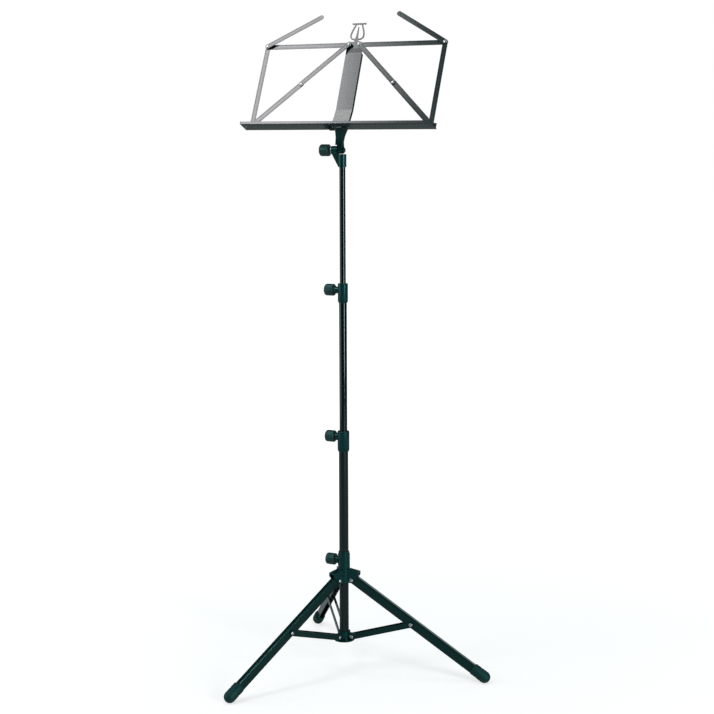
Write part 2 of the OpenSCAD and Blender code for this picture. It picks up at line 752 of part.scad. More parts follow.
base_tube();
lower_hub();
lower_rivets();
mid_collar();
tripod_hub();
hub_rivets();
hub_knob();
hub_screw();
leg(0);  // leg_a
leg(1);  // leg_b
leg(2);  // leg_c
foot_cap(0);  // foot_cap_a
foot_cap(1);  // foot_cap_b
foot_cap(2);  // foot_cap_c
strut(0);  // strut_a
strut(1);  // strut_b
strut(2);  // strut_c
strut_rivets(0);  // strut_rivets_a
strut_rivets(1);  // strut_rivets_b
strut_rivets(2);  // strut_rivets_c
mid_tube();
mid_bush();
top_collar();
mid_knob();
mid_screw();
top_bush();
top_tube();
tilt_head();
tilt_bolt();
tilt_washer();
top_knob();
top_screw();
tilt_knob();
neck_bracket();
back_plate();
lyre();
centre_rivets();
tray_pivots();
tray(1);  // tray_right
tray(-1);  // tray_left
tray_cap(1);  // tray_cap_right
tray_cap(-1);  // tray_cap_left
tray_rivet(1);  // tray_rivet_right
tray_rivet(-1);  // tray_rivet_left
side_bar(1);  // side_bar_right
side_bar(-1);  // side_bar_left
top_bar(1);  // top_bar_right
top_bar(-1);  // top_bar_left
corner_rivet(1);  // corner_rivet_right
corner_rivet(-1);  // corner_rivet_left
upper_link(1);  // upper_link_right
upper_link(-1);  // upper_link_left
elbow_rivet(1);  // elbow_rivet_right
elbow_rivet(-1);  // elbow_rivet_left
lower_link(1);  // lower_link_right
lower_link(-1);  // lower_link_left
elbow_tail(1);  // elbow_tail_right
elbow_tail(-1);  // elbow_tail_left
page_arm(1);  // page_arm_right
page_arm(-1);  // page_arm_left
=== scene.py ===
import json
import math

import bmesh
import bpy
from mathutils import Matrix, Vector


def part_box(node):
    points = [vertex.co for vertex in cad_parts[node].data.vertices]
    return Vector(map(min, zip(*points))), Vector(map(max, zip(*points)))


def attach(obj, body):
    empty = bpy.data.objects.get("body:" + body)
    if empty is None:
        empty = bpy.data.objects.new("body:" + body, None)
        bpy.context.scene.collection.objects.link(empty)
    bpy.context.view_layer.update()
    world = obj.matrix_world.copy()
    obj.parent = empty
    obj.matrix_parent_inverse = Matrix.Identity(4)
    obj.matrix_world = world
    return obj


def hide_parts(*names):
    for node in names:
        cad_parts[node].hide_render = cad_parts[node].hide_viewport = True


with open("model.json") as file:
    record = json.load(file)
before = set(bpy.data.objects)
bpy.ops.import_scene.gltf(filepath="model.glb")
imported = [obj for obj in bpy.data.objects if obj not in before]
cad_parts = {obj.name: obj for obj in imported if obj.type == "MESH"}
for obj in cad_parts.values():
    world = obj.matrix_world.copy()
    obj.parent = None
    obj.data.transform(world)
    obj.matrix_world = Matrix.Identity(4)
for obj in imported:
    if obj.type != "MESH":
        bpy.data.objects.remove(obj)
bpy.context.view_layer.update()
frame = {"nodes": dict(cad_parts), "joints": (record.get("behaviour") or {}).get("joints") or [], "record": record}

# The stand opened on a level floor. Its pole is the line that everything is set out from:
# the desk faces -Y, a little to one side of the camera, and the three legs stand round it.
JOINTS = {joint["name"]: joint for joint in frame["joints"]}
BODIES = frame["record"]["behaviour"]["bodies"]
BODY_OF = {node: body for body, nodes in BODIES.items() for node in nodes}


def joint_at(name):
    """The point that a joint turns about, at rest."""
    return Vector(JOINTS[name]["pos_m"])


pole = joint_at("desk_swivel")
pole.z = 0
scene = bpy.context.scene

# The camera's place in metres from the foot of the pole, the way it looks, and its roll in degrees
CAMERA_PLACE = (1.503, -3.189, 1.258)
CAMERA_LOOK = (-0.4138, 0.8993, -0.1416)
CAMERA_ROLL = -0.16
camera_data = bpy.data.cameras.new("camera")
camera_data.lens = 76.9
camera_data.clip_end = 60
camera = bpy.data.objects.new("camera", camera_data)
scene.collection.objects.link(camera)
scene.camera = camera
camera_roll = math.radians(CAMERA_ROLL)
looking = Vector(CAMERA_LOOK).normalized()
level = looking.cross(Vector((0, 0, 1))).normalized()
upward = level.cross(looking)
camera_x = level * math.cos(camera_roll) + upward * math.sin(camera_roll)
camera_y = upward * math.cos(camera_roll) - level * math.sin(camera_roll)
camera.matrix_world = Matrix.Translation(pole + Vector(CAMERA_PLACE)) @ Matrix(
    (camera_x, camera_y, -looking)).transposed().to_4x4()

# The studio: a pale floor that runs out of sight, a broad panel left of the pole and a narrow
# one right of it, three small boxes above the left of the desk that its flat faces mirror, a
# box overhead, and a soft light behind.
def soft_box(name, place, target, width, height, power, colour=(1, 1, 1)):
    """A rectangular soft light at a place, turned to a target."""
    data = bpy.data.lights.new(name, "AREA")
    data.shape = "RECTANGLE"
    data.size = width
    data.size_y = height
    data.energy = power
    data.color = colour
    lamp = bpy.data.objects.new(name, data)
    lamp.location = pole + Vector(place)
    aim = pole + Vector(target) - lamp.location
    lamp.rotation_euler = aim.to_track_quat("-Z", "Y").to_euler()
    scene.collection.objects.link(lamp)


def round_the_pole(turn, distance, height):
    """A place round the pole, turned to the camera's right from the line to the camera."""
    line = math.atan2(CAMERA_PLACE[1], CAMERA_PLACE[0]) + math.radians(turn)
    return distance * math.cos(line), distance * math.sin(line), height


# From a desk light to the point it faces
DESK_LIGHT_AIM = (0, 0.835, -0.545)


def desk_light(name, place, width, height, power, colour=(1, 1, 1)):
    """A soft box above the desk, turned square to the way the desk mirrors the camera."""
    target = [start + step for start, step in zip(place, DESK_LIGHT_AIM)]
    soft_box(name, place, target, width, height, power, colour)


# Places are in metres from the foot of the pole, sizes in metres and powers in watts
soft_box("left_panel", round_the_pole(-86, 2.6, 1.25), (0, 0, 1.25), 2.6, 2.3, 26)
soft_box("right_panel", round_the_pole(40, 3.6, 1.3), (0, 0, 1.3), 0.6, 2.3, 66)
desk_light("desk_box", (-1.175, -1.11, 2.783), 0.65, 0.85, 15, (1, 0.97, 1))
desk_light("desk_edge_box", (-0.740, -1.11, 2.783), 0.22, 0.85, 1.5)
desk_light("spine_box", (-1.034, -0.718, 3.385), 0.35, 0.30, 3.4)
soft_box("top_box", (0.2, 0.5, 3.4), (0, 0, 0.5), 1.8, 1.8, 16)
soft_box("back_box", round_the_pole(150, 3.0, 1.6), (0, 0, 0.9), 1.4, 2.0, 8)


class Value:
    """A shader socket that arithmetic can be written on."""

    def __init__(self, nodes, socket):
        self.nodes = nodes
        self.socket = socket

    def maths(self, operation, first, second):
        return self.nodes.add("Math", {"operation": operation}, {0: first, 1: second})

    def __add__(self, other):
        return self.maths("ADD", self, other)

    def __mul__(self, other):
        return self.maths("MULTIPLY", self, other)

    def __pow__(self, other):
        return self.maths("POWER", self, other)

    __radd__ = __add__
    __rmul__ = __mul__


class Nodes:
    """A node tree, with one way to add a node and to fill or link a socket."""

    def __init__(self, tree):
        self.tree = tree

    def join(self, socket, value):
        if isinstance(value, Value):
            self.tree.links.new(value.socket, socket)
        else:
            socket.default_value = value

    def add(self, kind, settings=None, inputs=None, output=0):
        """Adds a node, makes its settings, fills or links its inputs, and gives one output."""
        node = self.tree.nodes.new("ShaderNode" + kind)
        for key, value in (settings or {}).items():
            if key == "stops":
                ramp = node.color_ramp.elements
                while len(ramp) < len(value):
                    ramp.new(1)
                for stop, (place, shade) in zip(ramp, value):
                    stop.position = place
                    stop.color = (shade, shade, shade, 1)
            else:
                setattr(node, key, value)
        for key, value in (inputs or {}).items():
            self.join(node.inputs[key], value)
        return Value(self, node.outputs[output])


class Paint(Nodes):
    """A material made of one Principled shader and the patterns that feed it."""

    def __init__(self, name, metallic=0.0, coat=0.0, coat_roughness=0.1, glint=(1, 1, 1)):
        self.material = bpy.data.materials.new(name)
        self.material.use_nodes = True
        super().__init__(self.material.node_tree)
        self.shader = self.tree.nodes["Principled BSDF"]
        self.set("Metallic", metallic)
        self.set("Coat Weight", coat)
        self.set("Coat Roughness", coat_roughness)
        self.set("Specular Tint", (*glint, 1))

    def set(self, socket, value):
        self.join(self.shader.inputs[socket], value)

    def where(self, scale=(1, 1, 1)):
        """Object coordinates in metres, stretched by a scale along each axis."""
        place = self.add("TexCoord", output="Object")
        return self.add("Mapping", None, {"Vector": place, "Scale": scale})

    def noise(self, scale, detail=3.0, stretch=(1, 1, 1), distortion=0.0):
        return self.add("TexNoise", None, {"Vector": self.where(stretch), "Scale": scale,
                                           "Detail": detail, "Distortion": distortion})

    def spots(self, scale, size, soft):
        """1 at scattered points and 0 between them."""
        cells = self.add("TexVoronoi", None, {"Vector": self.where(), "Scale": scale})
        return self.add("ValToRGB", {"stops": [(size, 1), (size + soft, 0)]}, {"Fac": cells})

    def between(self, low, high, amount):
        """A colour from low to high as amount goes from 0 to 1."""
        return self.add("Mix", {"data_type": "RGBA"},
                        {0: amount, 6: (*low, 1), 7: (*high, 1)}, output=2)

    def over(self, colour, high, amount):
        """A linked colour, covered with high by amount."""
        return self.add("Mix", {"data_type": "RGBA"},
                        {0: amount, 6: colour, 7: (*high, 1)}, output=2)

    def bump(self, height, distance, strength):
        self.set("Normal", self.add("Bump", None, {"Height": height, "Distance": distance,
                                                   "Strength": strength}))


# White behind the object for the camera, and a weak sky for everything else
SKY_COLOUR = (0.35, 0.95, 1.0, 1)
SKY_STRENGTH = 0.08
scene.view_settings.view_transform = "Standard"
scene.world = bpy.data.worlds.new("studio")
scene.world.use_nodes = True
air = Nodes(scene.world.node_tree)
lighting = air.add("Background", None, {"Color": SKY_COLOUR, "Strength": SKY_STRENGTH})
shown = air.add("Background", None, {"Color": (1, 1, 1, 1), "Strength": 1.0})
seen = air.add("LightPath", output="Is Camera Ray")
either = air.add("MixShader", None, {0: seen, 1: lighting, 2: shown})
air.join(air.tree.nodes["World Output"].inputs["Surface"], either)


def pale_floor():
    """A matt floor that brightens into the background with distance, so no horizon shows."""
    near, far = 0.3, 3.0
    glow_near, glow_far = 0.66, 1.0
    paint = Paint("pale_floor")
    paint.set("Base Color", (0.62, 0.62, 0.62, 1))
    paint.set("Roughness", 0.9)
    paint.set("Specular IOR Level", 0.1)
    paint.set("Emission Strength", 1.0)
    place = paint.add("TexCoord", output="Object")
    distance = paint.add("VectorMath", {"operation": "LENGTH"}, {0: place}, "Value")
    fade = paint.add("MapRange", {"interpolation_type": "SMOOTHSTEP"},
                     {0: distance, 1: near, 2: far, 3: glow_near, 4: glow_far})
    paint.set("Emission Color", fade * paint.add("LightPath", output="Is Camera Ray"))
    return paint.material


FLOOR_REACH = 30
floor_corners = [(-FLOOR_REACH, -FLOOR_REACH, 0), (FLOOR_REACH, -FLOOR_REACH, 0),
                 (FLOOR_REACH, FLOOR_REACH, 0), (-FLOOR_REACH, FLOOR_REACH, 0)]
floor_mesh = bpy.data.meshes.new("floor")
floor_mesh.from_pydata(floor_corners, [], [(0, 1, 2, 3)])
floor_mesh.materials.append(pale_floor())
floor = bpy.data.objects.new("floor", floor_mesh)
scene.collection.objects.link(floor)

# The three tubes are drawn steel, 22, 18 and 14 mm across, finished in gloss black enamel that
# has taken fine lengthwise rubbing where one tube slides inside the next.
def enamel():
    """Gloss black enamel: a faint flow in the gloss, fine lengthwise rubs, and specks of dust."""
    paint = Paint("gloss_enamel", coat=0.15, coat_roughness=0.04, glint=(0.75, 1, 1))
    flow = paint.noise(40)
    rubs = paint.noise(500, 4, (1, 1, 0.02)) ** 8 * 6
    dust = paint.spots(300, 0.04, 0.04) * paint.noise(25)
    colour = paint.between((0.0002, 0.0028, 0.0028), (0.0006, 0.0056, 0.0054), flow)
    paint.set("Base Color", paint.over(colour, (0.12, 0.14, 0.14), dust * 0.15 + rubs * 0.04))
    paint.set("Roughness", flow * 0.05 + rubs * 0.08 + dust * 0.2 + 0.09)
    paint.bump(flow, 0.00002, 0.3)
    return paint.material


def new_piece(name, mesh, paint, body, nodes):
    """Puts a mesh in the scene as a piece of the stand, in place of CAD nodes."""
    piece = bpy.data.objects.new(name, mesh)
    scene.collection.objects.link(piece)
    mesh.materials.clear()
    mesh.materials.append(paint)
    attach(piece, body)
    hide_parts(*nodes)
    return piece


# The turn in degrees past which an edge is a real corner
SHARP_TURN = 32


def smooth_by_angle(shape, limit=SHARP_TURN):
    """Smooth faces, with the edges that turn more than the limit kept sharp."""
    shape.normal_update()
    for face in shape.faces:
        face.smooth = True
    for edge in shape.edges:
        edge.smooth = len(edge.link_faces) == 2 and edge.calc_face_angle(0) < math.radians(limit)


def mesh_from(shape, name):
    mesh = bpy.data.meshes.new(name)
    shape.to_mesh(mesh)
    shape.free()
    return mesh


def turned(name, profile, place, around, flutes=0, flute_depth=0.0, fluted=()):
    """A closed turned mesh: profile is a loop of (radius, height) about the axis of place."""
    shape = bmesh.new()
    rings = []
    for index, (radius, height) in enumerate(profile):
        ring = []
        depth = flute_depth if index in fluted else 0.0
        for step in range(around):
            turn = 2 * math.pi * step / around
            reach = radius - depth * (0.5 + 0.5 * math.cos(flutes * turn)) ** 3
            point = Vector((reach * math.cos(turn), reach * math.sin(turn), height))
            ring.append(shape.verts.new(place @ point))
        rings.append(ring)
    for index in range(len(rings)):
        low, high = rings[index - 1], rings[index]
        for step in range(around):
            after = (step + 1) % around
            shape.faces.new((low[step], low[after], high[after], high[step]))
    bmesh.ops.remove_doubles(shape, verts=shape.verts, dist=1e-7)
    bmesh.ops.recalc_face_normals(shape, faces=shape.faces)
    smooth_by_angle(shape)
    return mesh_from(shape, name)


tube_paint = enamel()
tube_wall = 0.001
tube_lip = 0.0003
tube_steps = 12
for node in ("base_tube", "mid_tube", "top_tube"):
    low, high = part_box(node)
    outer = (high.x - low.x) / 2
    inner = outer - tube_wall
    # Steps along the tube keep its long faces short enough to bend light evenly
    levels = [low.z + tube_lip + (high.z - low.z - 2 * tube_lip) * k / tube_steps
              for k in range(tube_steps + 1)]
    profile = [(outer - tube_lip, low.z)] + [(outer, z) for z in levels]
    profile += [(outer - tube_lip, high.z), (inner, high.z), (inner, low.z)]
    mesh = turned(node, profile, Matrix.Translation(pole), 64)
    new_piece(node + "_drawn", mesh, tube_paint, BODY_OF[node], [node])

# The hubs, clamp collars, tilt head and bushes are moulded in black nylon: satin, with a fine
# spark-eroded grain from the mould, soft corners, and a little polish where hands hold them.
def moulded(name, shade, roughness):
    """Satin moulded plastic with a spark-eroded grain."""
    paint = Paint(name, glint=(0.35, 1, 1))
    mottle = paint.noise(45, 4)
    grain = paint.noise(2600, 2)
    scuffs = paint.noise(170, 5, (1, 1, 0.35), 0.6) ** 7 * 6
    colour = paint.between([0.7 * part for part in shade], [1.35 * part for part in shade], mottle)
    paint.set("Base Color", paint.over(colour, (0.10, 0.12, 0.12), scuffs * 0.10))
    paint.set("Roughness", mottle * 0.10 + scuffs * 0.12 + (roughness - 0.06))
    paint.bump(grain * 0.7 + mottle * 0.3, 0.00003, 0.4)
    return paint.material


def finished(node, paint, edge, limit=SHARP_TURN):
    """The CAD node's own shape, welded, with smooth curves and softened corners."""
    shape = bmesh.new()
    shape.from_mesh(frame["nodes"][node].data)
    bmesh.ops.remove_doubles(shape, verts=shape.verts, dist=2e-6)
    bmesh.ops.dissolve_limit(shape, angle_limit=math.radians(0.8), verts=shape.verts,
                             edges=shape.edges)
    smooth_by_angle(shape, limit)
    piece = new_piece(node + "_finished", mesh_from(shape, node), paint, BODY_OF[node], [node])
    bevel = piece.modifiers.new("soft_corners", "BEVEL")
    bevel.width = edge
    bevel.segments = 2
    bevel.limit_method = "ANGLE"
    bevel.angle_limit = math.radians(SHARP_TURN)
    bevel.harden_normals = True
    return piece


nylon = moulded("moulded_nylon", (0.0006, 0.0230, 0.0240), 0.30)
for node in ("lower_hub", "tripod_hub", "mid_collar", "top_collar", "tilt_head"):
    finished(node, nylon, 0.0006)
for node in ("mid_bush", "top_bush"):
    finished(node, nylon, 0.0002)

# Each clamp knob is one moulding: a plain neck, a barrel with shallow finger flutes, a rounded
# shoulder and a slightly dished end. It is pressed on to a zinc-plated screw.
knob_paint = moulded("moulded_knob", (0.0150, 0.0340, 0.0325), 0.33)
KNOB_FLUTES = 18


def knob_profile(length, radius):
    """A closed loop of (radius, distance along the knob), from the neck's hole to the end."""
    hole = 0.0031
    hole_depth = 0.012
    axis = 0.0005
    neck = 0.008
    start = 0.004
    flare = 0.0026
    corner = 0.0042
    dish = 0.0011
    barrel_steps = 4
    corner_steps = 6
    loop = [(hole, 0), (neck - 0.0005, 0), (neck, 0.0005), (neck, start)]
    loop += [(radius - 0.0028, start), (radius - 0.0012, start + 0.0004),
             (radius - 0.0003, start + 0.0013), (radius, start + flare)]
    loop += [(radius, start + flare + (length - start - corner - flare) * k / barrel_steps)
             for k in range(1, barrel_steps + 1)]
    for step in range(1, corner_steps + 1):
        turn = math.radians(90 * step / corner_steps)
        loop.append((radius - corner * (1 - math.cos(turn)), length - corner * (1 - math.sin(turn))))
    loop += [(radius * 0.55, length - 0.0002), (radius * 0.45, length - 0.0009),
             (axis, length - dish), (axis, hole_depth), (hole, hole_depth)]
    return loop


# The loop's points that the flutes are cut into: the barrel, and half of the shoulder
FLUTED = range(7, 15)
FLUTE_DEPTH = 0.0005
for node in ("hub_knob", "mid_knob", "top_knob", "tilt_knob"):
    low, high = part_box(node)
    radius = (high.z - low.z) / 2
    loop = knob_profile(high.x - low.x, radius)
    centre = Vector((high.x, (low.y + high.y) / 2, (low.z + high.z) / 2))
    place = Matrix.Translation(centre) @ Matrix.Rotation(math.radians(-90), 4, "Y")
    mesh = turned(node, loop, place, KNOB_FLUTES * 8, KNOB_FLUTES, FLUTE_DEPTH, FLUTED)
    new_piece(node + "_fluted", mesh, knob_paint, BODY_OF[node], [node])


def zinc_plate():
    """Bright zinc plate with cloudy patches and faint brushing."""
    paint = Paint("zinc_plate", metallic=1.0)
    cloud = paint.noise(220, 3)
    brushed = paint.noise(3200, 2, (1, 0.15, 0.15))
    paint.set("Base Color", paint.between((0.46, 0.48, 0.48), (0.74, 0.76, 0.76), cloud))
    paint.set("Roughness", cloud * 0.18 + brushed * 0.10 + 0.16)
    paint.bump(brushed, 0.00003, 0.5)
    return paint.material


zinc = zinc_plate()
for node in ("hub_screw", "mid_screw", "top_screw", "tilt_washer"):
    finished(node, zinc, 0.0003)
# The tilt bolt is blackened to match the head that it passes through
finished("tilt_bolt", nylon, 0.0003)

# The legs are pressed from strip into deep channels, open underneath, and the struts are pairs
# of flat bars. Both are powder-coated: semi-gloss black with a fine orange-peel surface.
def powder(name, shade, roughness, peel, coat, glint=(1, 1, 1)):
    """Powder coat: orange peel in the surface, a slow drift in the gloss, dust and light rubs."""
    paint = Paint(name, coat=coat, coat_roughness=0.12, glint=glint)
    drift = paint.noise(14, 2)
    skin = paint.noise(peel, 2)
    rubs = paint.noise(160, 5, (1, 0.5, 0.25), 0.8) ** 9 * 8
    dust = paint.spots(240, 0.035, 0.04) * drift
    colour = paint.between([0.8 * part for part in shade], [1.2 * part for part in shade], drift)
    paint.set("Base Color", paint.over(colour, (0.12, 0.14, 0.14), dust * 0.15 + rubs * 0.06))
    paint.set("Roughness", drift * 0.06 + rubs * 0.10 + dust * 0.15 + (roughness - 0.03))
    paint.bump(skin, 0.00001, 0.35)
    return paint.material


leg_paint = powder("leg_powder_coat", (0.0006, 0.0135, 0.0120), 0.20, 350, 0.05, (0.4, 1, 1))
for leg in "abc":
    finished("leg_" + leg, leg_paint, 0.0004)
    finished("strut_" + leg, leg_paint, 0.0004)

# Each foot is a thick rubber cap pushed over the end of a leg: a rounded toe worn flat where it
# stands on the floor, and a skirt with grip rings round its mouth.
def rubber():
    """Matt black rubber with a mould bloom, and pale dust that gathers near the floor."""
    paint = Paint("foot_rubber", glint=(0.4, 1, 1))
    bloom = paint.noise(70, 5)
    grain = paint.noise(1500, 3)
    place = paint.add("TexCoord", output="Object")
    height = paint.add("SeparateXYZ", None, {0: place}, output="Z")
    low_down = paint.add("ValToRGB", {"stops": [(0.0, 1), (0.012, 0)]}, {"Fac": height})
    colour = paint.between((0.002, 0.022, 0.021), (0.005, 0.040, 0.038), bloom)
    paint.set("Base Color", paint.over(colour, (0.15, 0.15, 0.14), low_down * bloom * 0.6))
    paint.set("Roughness", bloom * 0.2 + 0.48)
    paint.bump(grain * 0.6 + bloom * 0.4, 0.00012, 0.6)
    return paint.material


foot_paint = rubber()
CAP_RADIUS = 0.014
CAP_SKIRT = 0.033
CAP_AXIS = 0.0002
# The ball's centre stands a little lower than its radius, because the toe is worn flat
BALL_HEIGHT = 0.01365
# How far the middle line of a leg's channel passes from the leg's pivot
LEG_MID = 0.00395


def cap_profile():
    """A closed loop of (radius, height), from the skirt's mouth down to the toe."""
    ring_pitch = 0.004
    ring_cut = 0.0006
    toe_steps = 12
    loop = [(CAP_AXIS, CAP_SKIRT), (CAP_RADIUS - 0.0025, CAP_SKIRT)]
    loop += [(CAP_RADIUS - 0.0012, CAP_SKIRT - 0.0006), (CAP_RADIUS - 0.0004, CAP_SKIRT - 0.002)]
    for ring in range(3):
        top = CAP_SKIRT - ring_pitch - ring_pitch * ring
        groove = CAP_RADIUS - ring_cut
        loop += [(CAP_RADIUS, top), (CAP_RADIUS, top - 0.0018), (groove, top - 0.0022),
                 (groove, top - 0.0034)]
    loop += [(CAP_RADIUS, 0.012), (CAP_RADIUS, 0.006)]
    for step in range(toe_steps + 1):
        turn = math.radians(88 * step / toe_steps)
        loop.append((CAP_RADIUS * math.cos(turn), -CAP_RADIUS * math.sin(turn)))
    return loop + [(CAP_AXIS, -CAP_RADIUS)]


MOUNTS = {mount["name"]: Vector(mount["pos_m"]) for mount in frame["record"]["mounts"]}
for leg in "abc":
    pivot = joint_at("leg_fold_" + leg)
    ball = MOUNTS["foot_" + leg] + Vector((0, 0, BALL_HEIGHT))
    across = Vector(JOINTS["leg_fold_" + leg]["axis"])
    reach = ball - pivot
    back_up = Matrix.Rotation(math.asin(LEG_MID / reach.length), 3, across) @ -reach.normalized()
    turn = back_up.to_track_quat("Z", "Y").to_matrix().to_4x4()
    mesh = turned("foot", cap_profile(), Matrix.Translation(ball) @ turn, 64)
    for vertex in mesh.vertices:
        vertex.co.z = max(vertex.co.z, 0.0)
    node = "foot_cap_" + leg
    new_piece(node + "_ringed", mesh, foot_paint, BODY_OF[node], [node])

# Steel rivets join everything that folds. Each is a shank closed by a domed head at both ends,
# set by a machine, and bright zinc like the screws.
def rivet_tree():
    """Geometry nodes that stand a domed head with its length of shank on every point given."""
    tree = bpy.data.node_groups.new("domed_rivets", "GeometryNodeTree")
    face = tree.interface
    face.new_socket("Geometry", in_out="INPUT", socket_type="NodeSocketGeometry")
    for name in ("Head radius", "Dome height", "Shank radius", "Shank length"):
        face.new_socket(name, in_out="INPUT", socket_type="NodeSocketFloat")
    face.new_socket("Finish", in_out="INPUT", socket_type="NodeSocketMaterial")
    face.new_socket("Geometry", in_out="OUTPUT", socket_type="NodeSocketGeometry")

    def node(kind, settings=None, links=None):
        made = tree.nodes.new(kind)
        for key, value in (settings or {}).items():
            setattr(made, key, value)
        for key, value in (links or {}).items():
            if isinstance(value, bpy.types.NodeSocket):
                tree.links.new(value, made.inputs[key])
            else:
                made.inputs[key].default_value = value
        return made

    given = node("NodeGroupInput")
    ball = node("GeometryNodeMeshUVSphere", None, {"Segments": 24, "Rings": 12, "Radius": 1.0})
    size = node("ShaderNodeCombineXYZ", None, {0: given.outputs["Head radius"],
                                               1: given.outputs["Head radius"],
                                               2: given.outputs["Dome height"]})
    dome = node("GeometryNodeTransform", None, {"Geometry": ball.outputs[0],
                                                "Scale": size.outputs[0]})
    rod = node("GeometryNodeMeshCylinder", None, {"Vertices": 20,
                                                  "Radius": given.outputs["Shank radius"],
                                                  "Depth": given.outputs["Shank length"]})
    half = node("ShaderNodeMath", {"operation": "MULTIPLY"},
                {0: given.outputs["Shank length"], 1: -0.5})
    inward = node("ShaderNodeCombineXYZ", None, {2: half.outputs[0]})
    shank = node("GeometryNodeTransform", None, {"Geometry": rod.outputs[0],
                                                 "Translation": inward.outputs[0]})
    both = node("GeometryNodeJoinGeometry")
    tree.links.new(dome.outputs[0], both.inputs[0])
    tree.links.new(shank.outputs[0], both.inputs[0])
    facing = node("GeometryNodeInputNamedAttribute", {"data_type": "FLOAT_VECTOR"},
                  {"Name": "outward"})
    stand = node("FunctionNodeAlignRotationToVector", {"axis": "Z"},
                 {"Vector": facing.outputs[0]})
    placed = node("GeometryNodeInstanceOnPoints", None, {"Points": given.outputs["Geometry"],
                                                         "Instance": both.outputs[0],
                                                         "Rotation": stand.outputs[0]})
    real = node("GeometryNodeRealizeInstances", None, {0: placed.outputs[0]})
    coloured = node("GeometryNodeSetMaterial", None, {"Geometry": real.outputs[0],
                                                      "Material": given.outputs["Finish"]})
    out = node("NodeGroupOutput")
    tree.links.new(coloured.outputs[0], out.inputs[0])
    return tree


RIVETS = rivet_tree()


def rivets(node, heads, sizes):
    """Rivet heads in place of a CAD node: heads are (point, outward), sizes follow the tree."""
    points = bpy.data.meshes.new(node)
    points.from_pydata([place for place, _ in heads], [], [])
    facing = points.attributes.new("outward", "FLOAT_VECTOR", "POINT")
    for entry, (_, outward) in zip(facing.data, heads):
        entry.vector = outward
    holder = bpy.data.objects.new(node + "_points", points)
    scene.collection.objects.link(holder)
    grow = holder.modifiers.new("rivets", "NODES")
    grow.node_group = RIVETS
    sockets = {item.name: item.identifier for item in RIVETS.interface.items_tree
               if item.in_out == "INPUT"}
    names = ("Head radius", "Dome height", "Shank radius", "Shank length")
    for name, value in zip(names, sizes):
        grow[sockets[name]] = value
    grow[sockets["Finish"]] = zinc
    seen_by = bpy.context.evaluated_depsgraph_get()
    mesh = bpy.data.meshes.new_from_object(holder.evaluated_get(seen_by))
    bpy.data.objects.remove(holder)
    shape = bmesh.new()
    shape.from_mesh(mesh)
    smooth_by_angle(shape)
    mesh = mesh_from(shape, node)
    return new_piece(node + "_domed", mesh, zinc, BODY_OF[node], [node])


# Head radius, dome height and shank radius of the tripod's rivets, then half the width that
# each kind grips and the length of the short ones in the struts
LEG_RIVET = (0.0044, 0.0013, 0.0025)
HUB_GRIP = 0.01045
LUG_GRIP = 0.00935
STRUT_STUB = 0.0021


def pair_of_heads(place, axis, half):
    return [(place + axis * side * half, axis * side) for side in (-1, 1)]


hub_heads = []
lug_heads = []
for leg in "abc":
    across = Vector(JOINTS["leg_fold_" + leg]["axis"])
    hub_heads += pair_of_heads(joint_at("leg_fold_" + leg), across, HUB_GRIP)
    lug_heads += pair_of_heads(joint_at("strut_fold_" + leg), across, LUG_GRIP)
    low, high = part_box("strut_rivets_" + leg)
    rivets("strut_rivets_" + leg, pair_of_heads((low + high) / 2, across, LUG_GRIP),
           (*LEG_RIVET, STRUT_STUB))
rivets("hub_rivets", hub_heads, (*LEG_RIVET, HUB_GRIP))
rivets("lower_rivets", lug_heads, (*LEG_RIVET, LUG_GRIP))

# The neck is a small casting that turns on the tilt bolt and carries the back plate, a pressed
# spine with its sides turned back and a shelf at its foot. The lyre is stamped and beaded.
desk_paint = powder("desk_powder_coat", (0.0022, 0.0150, 0.0150), 0.21, 420, 0.35)
finished("neck_bracket", leg_paint, 0.0012)
finished("back_plate", desk_paint, 0.0004, 5)
finished("lyre", desk_paint, 0.0005)

# The music ledge is two half-lengths of pressed sheet, each with a back wall, a beaded floor and
# a rolled lip, and a plastic trim on its outer end.
for side in ("right", "left"):
    finished("tray_" + side, desk_paint, 0.0003)
    finished("tray_cap_" + side, nylon, 0.0003)

# The desk's frame is ten flat steel bars with round ends. A long groove is pressed into the face
# of each to stiffen it, which leaves a raised border and two flat eyes for the rivets.

# A bar's thickness, the step from layer to layer, the first layer's rear face, and the slack
# between a rivet's head and the bar that it holds
BAR = 0.0015
PITCH = 0.0018
FIRST = 0.0003
GAP = 0.00015
up_the_desk = (joint_at("top_bar_fold_right") - joint_at("tray_fold_right")).normalized()
out_of_desk = Vector((1, 0, 0)).cross(up_the_desk).normalized()
DESK = Matrix.Translation((joint_at("tray_fold_right") + joint_at("tray_fold_left")) / 2) @ Matrix(
    (Vector((1, 0, 0)), up_the_desk, out_of_desk)).transposed().to_4x4()


def on_desk(point):
    """A point of the stand as (right, up the desk, towards the musician)."""
    return DESK.inverted() @ point


def layer(number):
    """The rear face of one of the desk's layers of bars."""
    return FIRST + (number - 1) * PITCH


BAR_SHARP_TURN = 12


